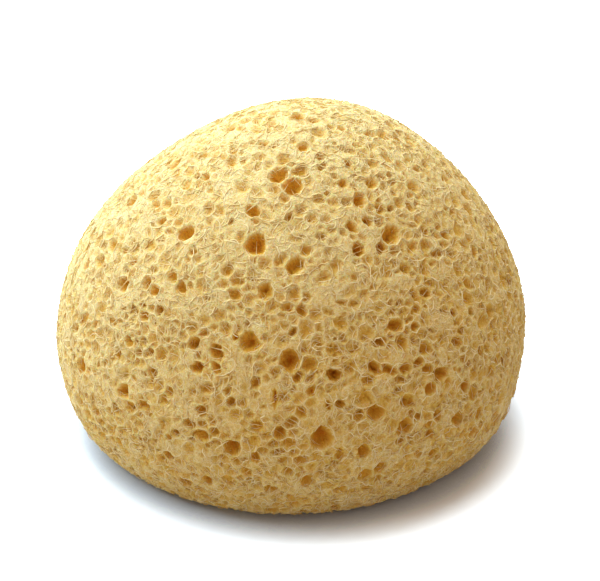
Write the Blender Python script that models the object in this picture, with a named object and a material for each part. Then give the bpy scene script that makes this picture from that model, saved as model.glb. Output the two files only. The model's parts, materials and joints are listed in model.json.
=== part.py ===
"""Natural fibre sponge: a ball-shaped sponge with open pores all over and a flat underside to rest on.

Blender 4.5, metres, +Z up, front towards -Y. The sponge is one piece. Its skin is a globe drawn in rings: the
widest ring is the waist, above it the globe rises to a crown, and below it the globe draws in to the flat
underside. A place on the skin is given as on a globe map: a bearing around the vertical (0 at the front, positive
towards +X) and a latitude above the waist, both in degrees and seen from the middle of the waist.

Pores are bowls sunk in the skin, in four sizes of mouth. Those of the front and the top stand where the real
sponge has them, and the back and the underside have a scatter of the same four sizes.
"""

import math
import random

import bmesh
import bpy
from mathutils import Euler, Vector

# Overall form
WIDTH = 0.090
DEPTH = 0.086
HEIGHT = 0.065
WAIST_HEIGHT = 0.020
BELLY_DRAW_IN = 0.0075  # the underside's edge lies this far inside the waist, at either side
RIM_ROUNDING = 0.003
CROWN_OFFSET = 0.002  # the crown stands this far to +X of the waist's middle
CROWN_FULLNESS = 1.8  # 2 is a true ellipse, and less is more pointed
BELLY_FULLNESS = 2.0
UNDERSIDE_WIDTH = WIDTH - 2 * BELLY_DRAW_IN
UNDERSIDE_DEPTH = UNDERSIDE_WIDTH * DEPTH / WIDTH

# Pores: width of the mouth and depth below it, and one crack that runs down the front
GREAT_MOUTH = 0.0038
LARGE_MOUTH = 0.0030
MEDIUM_MOUTH = 0.0024
SMALL_MOUTH = 0.0018
GREAT_DEPTH = 0.0036
LARGE_DEPTH = 0.0030
MEDIUM_DEPTH = 0.0024
SMALL_DEPTH = 0.0018
CRACK_WIDTH = 0.0013
CRACK_LENGTH = 0.0044
CRACK_DEPTH = 0.0020
PORE_WEB = 0.0004  # least fibre left between two mouths
MOUTH_STRETCH = 0.15  # a mouth is up to this share longer one way and shorter the other
MOUTH_UNEVEN = 0.18  # a corner of a mouth lies up to this share inside the even outline
UNDERSIDE_MIDDLE = 0.010  # no pore opens nearer than this to the middle of the underside

# Swells of the skin: bearing, latitude, how far around them they reach (degrees), and their share of the rise
SWELL_RISE = 0.001
SWELLS = (
    (-126, 52, 22, -0.7),
    (142, 62, 18, 0.7),
    (-100, 20, 20, 0.4),
    (-66, -18, 14, 0.7),
    (66, -17, 14, 1.0),
    (90, 8, 15, 0.3),
    (-35, 38, 16, 0.4),
    (24, 28, 18, -0.4),
    (170, 15, 20, 0.5),
    (-150, 5, 16, -0.6),
)

# Bearing and latitude of the pores of the front and the top
GREAT_PORES = ((-13.6, -0.5), (-16, 50), (-4, 65.3), (-12, 26), (-1, 22.5), (7, 3), (21, 7.3))
LARGE_PORES = (
    (-14, 69), (-45, 89), (36.4, 49.3), (20.5, 19.3), (18.3, -2.7), (-62, 5), (-24, 17.8), (-1, 45),
    (-44, 6), (11, 18.3), (22.5, 48), (-21, 23.3), (23.2, -8.6), (18.5, -11),
)
MEDIUM_PORES = (
    (-22, 58), (30, 59), (24, 24.2), (29.3, 27.3), (29.5, 23), (-27, 23.3), (58, 42), (22, 53.3),
    (30.6, 46.4), (-56, 29.5), (-44, 47), (36, 9.2), (28.8, 1.8), (4, -10), (47, -7), (38, -9), (-27.5, -16),
    (-21, -13), (-22, 8), (-2.7, 4.2), (-4.7, -13.5), (48, 25), (-80, 44), (25.3, 17), (46.7, 7), (39.5, 12.5),
    (-21.5, 1), (29.2, 7.8), (52, -3.5), (36, -2.5), (12, 11), (44.5, -1.5), (5, 21.5), (-31, -7),
)
SMALL_PORES = (
    (-42, 76), (-4, 57), (-37, 44), (-77, 25), (-40, 37), (-35, 35), (-43, 32), (-48, 33), (-9, 39),
    (-18.5, 37), (-92, 65), (78, 73), (68, 80), (6, 77), (16, 71), (36, 70), (26, 65), (43, 55), (37, 56),
    (30, 54), (67, 47), (37, 40), (40, 33), (2.7, 49), (77, 20), (-73, 14), (-40, 29), (-44, 26), (-46, 18),
    (-37, 14), (-37.5, 5), (-32, 8), (-19, 18), (-16, 14), (-18, 3), (-28.5, 0.7), (-11, -8), (-8.5, -2.7),
    (0, -7), (0, -17), (2.5, -3.5), (-2, 34.5), (2, 34), (34, 26), (33.5, 16.7), (29.5, 16), (36, 15),
    (28, 14.3), (19.8, 15.8), (5, 14.8), (16.5, 7.5), (38, 2), (31.7, 3.5), (12.3, -2.3), (28, -1.8),
    (54, 23), (46, 18), (66, 34), (54, 13), (63, 6), (37, -16), (-60, 17), (-70, 34), (-55, 62), (55, 62),
    (51, -8), (-52, -6), (-47, -10), (-57, 47), (51, 40), (0, 29), (-25, 4), (-14.7, 10.5), (-9.5, 16.3),
    (-42, 17), (1, 18), (0, 7), (0.3, 1.6), (5, 0.5), (2, 10.3), (-8, 6), (-9.5, -11), (13, -15),
    (33, -7), (36.5, 19.7),
)
CRACKS = ((-4.2, 13),)
SEEN_BEARING = 0
SEEN_LATITUDE = 30
SEEN_REACH = 84  # the scatter behind stays further than this, in degrees, from the seen side's middle
FILL_COUNT = 48  # small pores scattered last, wherever there is room on the skin

# Fineness of the mesh
RING_POINTS = 50
RINGS = 15
RIM_RINGS = 3
SCATTER_TRIES = 4000
SCATTER_SEED = 11


class PoreSize:
    """One size of pore: its mouth and depth, its facets, and how many the back and the underside have."""

    def __init__(self, mouth, depth, sides, steps, behind=0, below=0, length=None):
        self.mouth = mouth
        self.depth = depth
        self.sides = sides
        self.steps = steps
        self.behind = behind
        self.below = below
        self.length = length  # only a crack has one: it is as long as this and as wide as its mouth


GREAT = PoreSize(GREAT_MOUTH, GREAT_DEPTH, sides=10, steps=3, behind=6)
LARGE = PoreSize(LARGE_MOUTH, LARGE_DEPTH, sides=8, steps=2, behind=12, below=2)
MEDIUM = PoreSize(MEDIUM_MOUTH, MEDIUM_DEPTH, sides=8, steps=2, behind=24, below=4)
SMALL = PoreSize(SMALL_MOUTH, SMALL_DEPTH, sides=6, steps=2, behind=40, below=8)
CRACK = PoreSize(CRACK_WIDTH, CRACK_DEPTH, sides=8, steps=2, length=CRACK_LENGTH)
PLACED = (
    (GREAT, GREAT_PORES),
    (CRACK, CRACKS),
    (LARGE, LARGE_PORES),
    (MEDIUM, MEDIUM_PORES),
    (SMALL, SMALL_PORES),
)


def rim_latitude():
    """Latitude at which the belly meets the surface that the sponge stands on."""
    return -math.degrees(math.atan2(WAIST_HEIGHT, UNDERSIDE_WIDTH / 2))


def belly_drop():
    """Distance from the waist to where the belly's curve would close, were it not cut off flat."""
    draw_in = (UNDERSIDE_WIDTH / WIDTH) ** BELLY_FULLNESS
    return WAIST_HEIGHT / (1 - draw_in) ** (1 / BELLY_FULLNESS)


def direction(bearing, latitude):
    """Unit vector from the middle of the waist."""
    around = math.radians(bearing)
    up = math.radians(latitude)
    return Vector((math.cos(up) * math.sin(around), -math.cos(up) * math.cos(around), math.sin(up)))


def swell_at(ray):
    """How far the skin stands proud of the even globe in a direction."""
    rise = 0.0
    for bearing, latitude, reach, share in SWELLS:
        apart = math.degrees(ray.angle(direction(bearing, latitude)))
        rise += SWELL_RISE * share * math.exp(-((apart / reach) ** 2))
    return rise


def skin(bearing, latitude):
    """Point of the skin at a bearing and a latitude."""
    ray = direction(bearing, latitude)
    across = math.hypot(ray.x / (WIDTH / 2), ray.y / (DEPTH / 2))
    if ray.z >= 0:
        fullness = CROWN_FULLNESS
        along = ray.z / (HEIGHT - WAIST_HEIGHT)
    else:
        fullness = BELLY_FULLNESS
        along = -ray.z / belly_drop()
    reach = (across**fullness + along**fullness) ** (-1 / fullness) + swell_at(ray)
    point = ray * reach
    lean = CROWN_OFFSET * max(point.z, 0.0) / (HEIGHT - WAIST_HEIGHT)
    return point + Vector((lean, 0, WAIST_HEIGHT))


def outward(bearing, latitude):
    """Unit normal of the skin, from two short steps along it."""
    step = 0.5
    side = max(math.cos(math.radians(latitude)), 0.02)
    east = skin(bearing + step / side, latitude) - skin(bearing - step / side, latitude)
    north = skin(bearing, latitude + step) - skin(bearing, latitude - step)
    return east.cross(north).normalized()


def rim_curve(bearing):
    """Points of the rounded rim, from the belly down to the flat underside."""
    last = rim_latitude()
    corner = skin(bearing, last)
    corner.z = 0.0
    lift = math.degrees(RIM_ROUNDING / math.hypot(WAIST_HEIGHT, UNDERSIDE_WIDTH / 2))
    heel = skin(bearing, last + lift)
    toe = corner * (1 - RIM_ROUNDING / corner.length)
    points = []
    for i in range(RIM_RINGS):
        s = i / (RIM_RINGS - 1)
        points.append(heel * (1 - s) ** 2 + corner * 2 * s * (1 - s) + toe * s**2)
    return points


def globe_mesh():
    """The whole sponge without its pores: rings of points from crown to rim, closed by a flat underside."""
    globe = bmesh.new()
    crown = globe.verts.new(skin(0, 90))
    lowest = rim_latitude() + math.degrees(2 * RIM_ROUNDING / (WIDTH / 2))
    columns = []
    for i in range(RING_POINTS):
        bearing = 360 * i / RING_POINTS
        points = []
        for ring in range(1, RINGS + 1):
            points.append(skin(bearing, 90 + (lowest - 90) * ring / RINGS))
        points += rim_curve(bearing)
        columns.append([globe.verts.new(point) for point in points])
    for i, column in enumerate(columns):
        beside = columns[(i + 1) % RING_POINTS]
        globe.faces.new((crown, column[0], beside[0]))
        for ring in range(len(column) - 1):
            globe.faces.new((column[ring], column[ring + 1], beside[ring + 1], beside[ring]))
    globe.faces.new([column[-1] for column in reversed(columns)])
    bmesh.ops.recalc_face_normals(globe, faces=globe.faces)
    mesh = bpy.data.meshes.new("sponge")
    globe.to_mesh(mesh)
    globe.free()
    return mesh


class Pore:
    """A pore: where its mouth is centred, which way it opens, and the outline of its mouth."""

    def __init__(self, size, seat, opening, rng):
        self.size = size
        self.seat = seat
        self.opening = opening
        turn = rng.uniform(0, 2 * math.pi)
        stretch = 1 + rng.uniform(0, MOUTH_STRETCH)
        across = size.mouth / 2 / stretch
        along = size.mouth / 2 * stretch
        if size.length:
            turn = 0.0
            across = size.mouth / 2
            along = size.length / 2
        self.reach = along
        self.outline = []
        for i in range(size.sides):
            corner = 2 * math.pi * i / size.sides
            even = Vector((across * math.cos(corner), along * math.sin(corner), 0))
            even.rotate(Euler((0, 0, turn)))
            self.outline.append(even * (1 - rng.uniform(0, MOUTH_UNEVEN)))

    def clear_of(self, others):
        """True where the web to each other pore is at least PORE_WEB."""
        for other in others:
            apart = (self.seat - other.seat).length
            if apart < self.reach + other.reach + PORE_WEB:
                return False
        return True

    def ring(self, cutters, share, level):
        """The mouth's outline, drawn in to a share of itself, at a level along the way the pore opens."""
        east = Vector((0, 0, 1)).cross(self.opening)
        if east.length < 0.001:
            east = Vector((1, 0, 0))
        east.normalize()
        north = self.opening.cross(east)
        middle = self.seat + self.opening * level
        return [
            cutters.verts.new(middle + (east * corner.x + north * corner.y) * share)
            for corner in self.outline
        ]

    def add_bowl(self, cutters):
        """Adds the bowl that this pore takes out: a collar above the skin, rings that close in, and a floor."""
        size = self.size
        rings = [self.ring(cutters, 1, size.mouth / 4)]
        for step in range(size.steps):
            dip = math.pi / 2 * step / size.steps
            rings.append(self.ring(cutters, math.cos(dip), -size.depth * math.sin(dip)))
        floor = cutters.verts.new(self.seat - self.opening * size.depth)
        cutters.faces.new(rings[0])
        for i in range(size.sides):
            j = (i + 1) % size.sides
            for upper, lower in zip(rings, rings[1:]):
                cutters.faces.new((upper[i], lower[i], lower[j], upper[j]))
            cutters.faces.new((rings[-1][i], floor, rings[-1][j]))


def placed_pores(rng):
    """The pores of the front and the top, largest first; one that would break a web is left out."""
    pores = []
    for size, places in PLACED:
        for bearing, latitude in places:
            pore = Pore(size, skin(bearing, latitude), outward(bearing, latitude), rng)
            if pore.clear_of(pores):
                pores.append(pore)
    return pores


def scatter_over(pores, size, count, nearest, rng):
    """Adds one size of pore to the skin, clear of the rim and of the seen side within nearest degrees."""
    seen = direction(SEEN_BEARING, SEEN_LATITUDE)
    lowest = rim_latitude() + math.degrees((RIM_ROUNDING + size.mouth) / (WIDTH / 2))
    added = 0
    for _ in range(SCATTER_TRIES):
        if added == count:
            return
        bearing = rng.uniform(-180, 180)
        latitude = math.degrees(math.asin(rng.uniform(math.sin(math.radians(lowest)), 1)))
        if math.degrees(direction(bearing, latitude).angle(seen)) < nearest:
            continue
        pore = Pore(size, skin(bearing, latitude), outward(bearing, latitude), rng)
        if pore.clear_of(pores):
            pores.append(pore)
            added += 1


def scatter_below(pores, size, rng):
    """Adds one size of pore to the flat underside, between its middle and its rim."""
    added = 0
    inner = UNDERSIDE_MIDDLE + size.mouth
    outer = UNDERSIDE_DEPTH / 2 - RIM_ROUNDING - size.mouth
    for _ in range(SCATTER_TRIES):
        if added == size.below:
            return
        ray = direction(rng.uniform(-180, 180), 0)
        seat = ray * math.sqrt(rng.uniform(inner**2, outer**2))
        pore = Pore(size, seat, Vector((0, 0, -1)), rng)
        if pore.clear_of(pores):
            pores.append(pore)
            added += 1


def pore_cutter():
    """One guide object that holds the bowl of every pore."""
    rng = random.Random(SCATTER_SEED)
    pores = placed_pores(rng)
    for size in (GREAT, LARGE, MEDIUM, SMALL):
        scatter_over(pores, size, size.behind, SEEN_REACH, rng)
        scatter_below(pores, size, rng)
    scatter_over(pores, SMALL, FILL_COUNT, 0, rng)
    cutters = bmesh.new()
    for pore in pores:
        pore.add_bowl(cutters)
    bmesh.ops.recalc_face_normals(cutters, faces=cutters.faces)
    mesh = bpy.data.meshes.new("pore_cutter")
    cutters.to_mesh(mesh)
    cutters.free()
    cutter = bpy.data.objects.new("pore_cutter", mesh)
    cutter.hide_render = True
    cutter.display_type = "WIRE"
    return cutter


def sponge_material():
    """Dry natural sponge: pale honey, matt all over."""
    material = bpy.data.materials.new("sponge_fibre")
    material.use_nodes = True
    shader = material.node_tree.nodes["Principled BSDF"]
    shader.inputs["Base Color"].default_value = (0.69, 0.50, 0.22, 1)
    shader.inputs["Roughness"].default_value = 0.95
    shader.inputs["Metallic"].default_value = 0
    return material


def build_sponge():
    """The sponge, with its pores cut and the middle of its box over the origin."""
    mesh = globe_mesh()
    mesh.materials.append(sponge_material())
    mesh.shade_smooth()
    mesh.set_sharp_from_angle(angle=math.radians(50))
    sponge = bpy.data.objects.new("sponge", mesh)
    bpy.context.collection.objects.link(sponge)
    cutter = pore_cutter()
    cutter.parent = sponge
    bpy.context.collection.objects.link(cutter)
    cut = sponge.modifiers.new("pores", "BOOLEAN")
    cut.operation = "DIFFERENCE"
    cut.solver = "EXACT"
    cut.object = cutter
    for axis in (0, 1):
        values = [vertex.co[axis] for vertex in mesh.vertices]
        sponge.location[axis] = -(min(values) + max(values)) / 2
    return sponge


for old in list(bpy.data.objects):
    bpy.data.objects.remove(old, do_unlink=True)
build_sponge()
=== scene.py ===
"""Looks of the natural fibre sponge: its carved fibre body, the loose threads on it, and a plain studio.

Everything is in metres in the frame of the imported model: +Z up, the front towards -Y, and the underside on
Z = 0.
"""

from __future__ import annotations

import json
import logging
import math
from dataclasses import dataclass, field
from enum import Enum
from typing import Any

import bmesh
import bpy
import numpy as np
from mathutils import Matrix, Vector

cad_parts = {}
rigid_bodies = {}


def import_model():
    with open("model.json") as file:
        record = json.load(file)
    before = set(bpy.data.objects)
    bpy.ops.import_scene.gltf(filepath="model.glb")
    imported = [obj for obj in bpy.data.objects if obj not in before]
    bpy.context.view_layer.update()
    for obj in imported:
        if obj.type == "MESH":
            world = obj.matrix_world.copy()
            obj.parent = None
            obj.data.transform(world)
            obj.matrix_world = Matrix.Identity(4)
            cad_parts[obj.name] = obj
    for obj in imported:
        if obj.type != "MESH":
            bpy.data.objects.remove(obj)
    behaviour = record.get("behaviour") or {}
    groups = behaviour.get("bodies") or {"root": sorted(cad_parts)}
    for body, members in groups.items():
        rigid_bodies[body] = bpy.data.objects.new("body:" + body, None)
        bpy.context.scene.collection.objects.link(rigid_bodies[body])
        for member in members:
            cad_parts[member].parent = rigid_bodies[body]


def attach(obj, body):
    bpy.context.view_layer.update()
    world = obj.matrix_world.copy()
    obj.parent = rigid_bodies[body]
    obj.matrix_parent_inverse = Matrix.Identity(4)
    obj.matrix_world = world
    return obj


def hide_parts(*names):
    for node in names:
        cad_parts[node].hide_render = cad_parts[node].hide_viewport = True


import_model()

log = logging.getLogger("sponge")
MM = 0.001
TUBE_SIDES = 3
Tree = bpy.types.NodeTree
Node = bpy.types.Node
Sockets = dict[str, tuple[str, Any]]


def linear(hex_colour: str) -> tuple[float, float, float, float]:
    """Turns an sRGB colour into the linear one that Blender's sockets take.

    Args:
        hex_colour: six hex digits after a hash sign.

    Returns:
        Linear red, green and blue, and an alpha of 1.
    """
    channels = [int(hex_colour[i : i + 2], 16) / 255 for i in (1, 3, 5)]
    red, green, blue = (c / 12.92 if c <= 0.04045 else ((c + 0.055) / 1.055) ** 2.4 for c in channels)
    return red, green, blue, 1.0


def add_node(tree: Tree, kind: str, inputs: dict[Any, Any] | None = None, **settings: Any) -> Node:
    """Adds a node with its settings, its values and its links.

    Args:
        tree: the tree that gets the node.
        kind: the node's Blender type.
        inputs: a value, a socket or a node (for its first output) for each input, by name or by place among
            the inputs in use.
        settings: the node's own properties.

    Returns:
        The new node.
    """
    node = tree.nodes.new(kind)
    for name, value in settings.items():
        setattr(node, name, value)
    for key, value in (inputs or {}).items():
        in_use = [socket for socket in node.inputs if socket.enabled]
        socket = in_use[key] if isinstance(key, int) else next(s for s in in_use if s.name == key)
        if isinstance(value, bpy.types.Node):
            value = next(out for out in value.outputs if out.enabled)
        if isinstance(value, bpy.types.NodeSocket):
            tree.links.new(value, socket)
        else:
            socket.default_value = value
    return node


def new_material(name: str) -> bpy.types.Material:
    """Starts a material with an empty node tree.

    Args:
        name: the material's name.

    Returns:
        The material.
    """
    material = bpy.data.materials.new(name)
    material.use_nodes = True
    material.node_tree.nodes.clear()
    return material


def wander(tree: Tree, place: Any, spacing: float, reach: Any) -> Node:
    """Makes a smooth random shift, for outlines and fibres that aren't quite even.

    Args:
        tree: the tree being made.
        place: the point that the shift is for.
        spacing: how far apart the swings are.
        reach: how far a swing goes, both ways together.

    Returns:
        A node for the shift.
    """
    noise = add_node(tree, "ShaderNodeTexNoise", {"Vector": place, "Scale": 1 / spacing, "Detail": 2.0})
    centred = add_node(
        tree, "ShaderNodeVectorMath", {0: noise.outputs["Color"], 1: (0.5, 0.5, 0.5)}, operation="SUBTRACT"
    )
    return add_node(tree, "ShaderNodeVectorMath", {0: centred, "Scale": reach}, operation="SCALE")


def seen_rays(tree: Tree) -> Node:
    """Tells the rays that show a surface to the eye from those that only carry its light.

    Args:
        tree: the tree being made.

    Returns:
        A node that is 1 for camera, glossy and transmission rays, and 0 for the others.
    """
    path = add_node(tree, "ShaderNodeLightPath").outputs
    seen: Any = path["Is Camera Ray"]
    for kind in ("Is Glossy Ray", "Is Transmission Ray"):
        seen = add_node(tree, "ShaderNodeMath", {0: seen, 1: path[kind]}, operation="MAXIMUM")
    return seen


class PoreSize(Enum):
    """The four sizes of pore, each with the width of its mouth and its depth."""

    GREAT = (3.8 * MM, 3.6 * MM)
    LARGE = (3.0 * MM, 3.0 * MM)
    MEDIUM = (2.4 * MM, 2.4 * MM)
    SMALL = (1.8 * MM, 1.8 * MM)


@dataclass
class SpongeSkin:
    """The even outer form of the sponge before any pore: a globe with its bottom cut off flat."""

    width: float = 90 * MM
    depth: float = 86 * MM
    height: float = 65 * MM
    waist_height: float = 20 * MM
    belly_draw_in: float = 7.5 * MM
    rim_rounding: float = 4.5 * MM
    crown_offset: float = 2 * MM
    crown_fullness: float = 1.8
    belly_fullness: float = 2.0
    swell_rise: float = 1 * MM
    # Each swell's bearing, latitude and spread in degrees, and its share of the rise.
    swells: tuple[tuple[float, float, float, float], ...] = (
        (-126, 52, 22, -0.7),
        (142, 62, 18, 0.7),
        (-100, 20, 20, 0.4),
        (-66, -18, 14, 0.7),
        (66, -17, 14, 1.0),
        (90, 8, 15, 0.3),
        (-35, 38, 16, 0.4),
        (24, 28, 18, -0.4),
        (170, 15, 20, 0.5),
        (-150, 5, 16, -0.6),
    )
    detail: int = 7

    def direction(self, bearing: float, latitude: float) -> np.ndarray:
        """Unit vector from the middle of the waist, for a bearing and a latitude in degrees."""
        around, up = math.radians(bearing), math.radians(latitude)
        return np.array([math.cos(up) * math.sin(around), -math.cos(up) * math.cos(around), math.sin(up)])

    def reach(self, rays: np.ndarray) -> np.ndarray:
        """Distance from the middle of the waist to the skin.

        Args:
            rays: unit vectors, one a row.

        Returns:
            One distance for each ray, cut short where the ray meets the surface that the sponge stands on.
        """
        across = np.hypot(rays[:, 0] / (self.width / 2), rays[:, 1] / (self.depth / 2))
        draw_in = (1 - 2 * self.belly_draw_in / self.width) ** self.belly_fullness
        belly_drop = self.waist_height / (1 - draw_in) ** (1 / self.belly_fullness)
        above = rays[:, 2] >= 0
        along = np.abs(rays[:, 2]) / np.where(above, self.height - self.waist_height, belly_drop)
        fullness = np.where(above, self.crown_fullness, self.belly_fullness)
        reach = (across**fullness + along**fullness) ** (-1 / fullness)
        for bearing, latitude, spread, share in self.swells:
            apart = np.degrees(np.arccos(np.clip(rays @ self.direction(bearing, latitude), -1, 1)))
            reach += self.swell_rise * share * np.exp(-((apart / spread) ** 2))
        to_floor = self.waist_height / np.maximum(-rays[:, 2], 1e-6)
        blend = np.maximum(self.rim_rounding - np.abs(reach - to_floor), 0) / self.rim_rounding
        return np.minimum(reach, to_floor) - blend**2 * self.rim_rounding / 4

    def points(self, rays: np.ndarray) -> np.ndarray:
        """Points of the skin in the given directions.

        Args:
            rays: unit vectors from the middle of the waist, one a row.

        Returns:
            One point for each ray.
        """
        points = rays * self.reach(rays)[:, None]
        points[:, 0] += self.crown_offset * np.maximum(points[:, 2], 0) / (self.height - self.waist_height)
        points[:, 2] += self.waist_height
        return points

    def build(self) -> bpy.types.Object:
        """Makes the skin's mesh, centred over the origin, and keeps its normals as an attribute.

        Returns:
            A closed object of even triangles, for the carving to start from.
        """
        globe = bmesh.new()
        bmesh.ops.create_icosphere(globe, subdivisions=self.detail, radius=1)
        mesh = bpy.data.meshes.new("skin")
        globe.to_mesh(mesh)
        globe.free()
        rays = np.empty(len(mesh.vertices) * 3)
        mesh.vertices.foreach_get("co", rays)
        rays = rays.reshape(-1, 3)
        rays /= np.linalg.norm(rays, axis=1)[:, None]
        points = self.points(rays)
        self.middle = (points.min(axis=0) + points.max(axis=0)) / 2 * (1, 1, 0)
        mesh.vertices.foreach_set("co", (points - self.middle).ravel())
        mesh.update()
        normals = np.array([vertex.normal[:] for vertex in mesh.vertices])
        attribute = mesh.attributes.new("skin_normal", "FLOAT_VECTOR", "POINT")
        attribute.data.foreach_set("vector", normals.ravel())
        skin = bpy.data.objects.new("skin", mesh)
        bpy.context.collection.objects.link(skin)
        return skin


@dataclass(frozen=True)
class CellGrade:
    """One grade of cells between the pores: how far apart, how many tries, how many are open and how deep."""

    spacing: float
    tries: int
    open_share: float
    least: float
    most: float


@dataclass
class CellNet:
    """The sponge's openings, some as seen and the rest scattered, and the net of walls between them."""

    # Bearing and latitude, in degrees, of each pore that the photograph shows.
    seen: dict[PoreSize, tuple[tuple[float, float], ...]] = field(
        default_factory=lambda: {
            PoreSize.GREAT: (
                (-13.6, -0.5), (-16, 50), (-4, 65.3), (-12, 26), (-1, 22.5), (7, 3), (21, 7.3),
            ),
            PoreSize.LARGE: (
                (-14, 69), (-45, 89), (36.4, 49.3), (20.5, 19.3), (18.3, -2.7), (-62, 5), (-24, 17.8),
                (-1, 45), (-44, 6), (11, 18.3), (22.5, 48), (-21, 23.3), (23.2, -8.6), (18.5, -11),
            ),
            PoreSize.MEDIUM: (
                (-22, 58), (30, 59), (24, 24.2), (29.3, 27.3), (29.5, 23), (-27, 23.3), (58, 42),
                (22, 53.3), (30.6, 46.4), (-56, 29.5), (-44, 47), (36, 9.2), (28.8, 1.8), (4, -10),
                (47, -7), (38, -9), (-27.5, -16), (-21, -13), (-22, 8), (-2.7, 4.2), (-4.7, -13.5),
                (48, 25), (-80, 44), (25.3, 17), (46.7, 7), (39.5, 12.5), (-21.5, 1), (29.2, 7.8),
                (52, -3.5), (36, -2.5), (12, 11), (44.5, -1.5), (5, 21.5), (-31, -7),
            ),
            PoreSize.SMALL: (
                (-42, 76), (-4, 57), (-37, 44), (-77, 25), (-40, 37), (-35, 35), (-43, 32), (-48, 33),
                (-9, 39), (-18.5, 37), (-92, 65), (78, 73), (68, 80), (6, 77), (16, 71), (36, 70), (26, 65),
                (43, 55), (37, 56), (30, 54), (67, 47), (37, 40), (40, 33), (2.7, 49), (77, 20), (-73, 14),
                (-40, 29), (-44, 26), (-46, 18), (-37, 14), (-37.5, 5), (-32, 8), (-19, 18), (-16, 14),
                (-18, 3), (-28.5, 0.7), (-11, -8), (-8.5, -2.7), (0, -7), (0, -17), (2.5, -3.5), (-2, 34.5),
                (2, 34), (34, 26), (33.5, 16.7), (29.5, 16), (36, 15), (28, 14.3), (19.8, 15.8), (5, 14.8),
                (16.5, 7.5), (38, 2), (31.7, 3.5), (12.3, -2.3), (28, -1.8), (54, 23), (46, 18), (66, 34),
                (54, 13), (63, 6), (37, -16), (-60, 17), (-70, 34), (-55, 62), (55, 62), (51, -8),
                (-52, -6), (-47, -10), (-57, 47), (51, 40), (0, 29), (-25, 4), (-14.7, 10.5), (-9.5, 16.3),
                (-42, 17), (1, 18), (0, 7), (0.3, 1.6), (5, 0.5), (2, 10.3), (-8, 6), (-9.5, -11),
                (13, -15), (33, -7), (36.5, 19.7),
            ),
        }
    )
    # How many of each size are scattered where the photograph doesn't show the sponge.
    hidden: dict[PoreSize, int] = field(
        default_factory=lambda: {
            PoreSize.GREAT: 7,
            PoreSize.LARGE: 16,
            PoreSize.MEDIUM: 34,
            PoreSize.SMALL: 90,
        }
    )
    # The camera's bearing and latitude, and how far round from there it could see a pore, in degrees.
    seen_direction: tuple[float, float] = (0, 30)
    seen_reach: float = 84
    # The cells between the pores, the wide ones first.
    grades: tuple[CellGrade, ...] = (
        CellGrade(2.3 * MM, 1500, 0.72, 0.40 * MM, 1.20 * MM),
        CellGrade(1.7 * MM, 5000, 0.66, 0.35 * MM, 1.00 * MM),
        CellGrade(1.2 * MM, 26000, 0.66, 0.28 * MM, 0.78 * MM),
    )
    web: float = 0.4 * MM
    # A pore's face in the net is this share of its mouth across, because its rim is rounded.
    cap_share: float = 0.92
    # A corner of the net lies nearer to its narrow openings, by this power of their widths.
    evenness: float = 0.4
    # How far a corner strays from its even place.
    sway: float = 0.14 * MM
    closed_depth: float = 0.06 * MM
    depth_shares: tuple[float, float] = (0.62, 0.98)
    seed: int = 23

    def seats(self, skin: SpongeSkin) -> tuple[np.ndarray, np.ndarray, np.ndarray]:
        """Places the pores and then ever smaller cells in the room that is left.

        Args:
            skin: the form that they open in, already built.

        Returns:
            For each opening its direction from the middle, its width and its depth.
        """
        rng = np.random.default_rng(self.seed)
        facing = skin.direction(*self.seen_direction)
        most = sum(map(len, self.seen.values())) + sum(self.hidden.values())
        most += sum(grade.tries for grade in self.grades)
        rays, seats = np.zeros((most, 3)), np.zeros((most, 3))
        mouths, depths = np.zeros(most), np.zeros(most)
        count = 0

        def place(ray: np.ndarray, mouth: float, web: float, depth: float) -> bool:
            """Adds an opening where it is clear of each other one.

            Args:
                ray: its direction from the middle.
                mouth: its width.
                web: the least wall beside it.
                depth: its depth.

            Returns:
                Whether there was room for it.
            """
            nonlocal count
            seat = skin.points(ray[None, :])[0]
            apart = np.linalg.norm(seats[:count] - seat, axis=1)
            if np.any(apart < (mouths[:count] + mouth) / 2 + web):
                return False
            rays[count], seats[count], mouths[count], depths[count] = ray, seat, mouth, depth
            count += 1
            return True

        def any_ray() -> np.ndarray:
            """Picks a direction, each as likely as any other."""
            ray = rng.normal(size=3)
            return ray / np.linalg.norm(ray)

        for size, places in self.seen.items():
            mouth, depth = size.value
            for bearing, latitude in places:
                share = rng.uniform(*self.depth_shares)
                place(skin.direction(bearing, latitude), mouth * self.cap_share, 0.0, depth * share)
        for size, wanted in self.hidden.items():
            mouth, depth = size.value
            while wanted:
                ray, share = any_ray(), rng.uniform(*self.depth_shares)
                if math.degrees(math.acos(float(ray @ facing))) > self.seen_reach:
                    wanted -= place(ray, mouth * self.cap_share, self.web, depth * share)
        for grade in self.grades:
            for _ in range(grade.tries):
                is_open = rng.random() < grade.open_share
                depth = rng.uniform(grade.least, grade.most) if is_open else self.closed_depth
                place(any_ray(), grade.spacing, 0.0, depth)
        return rays[:count], mouths[:count], depths[:count]

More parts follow.
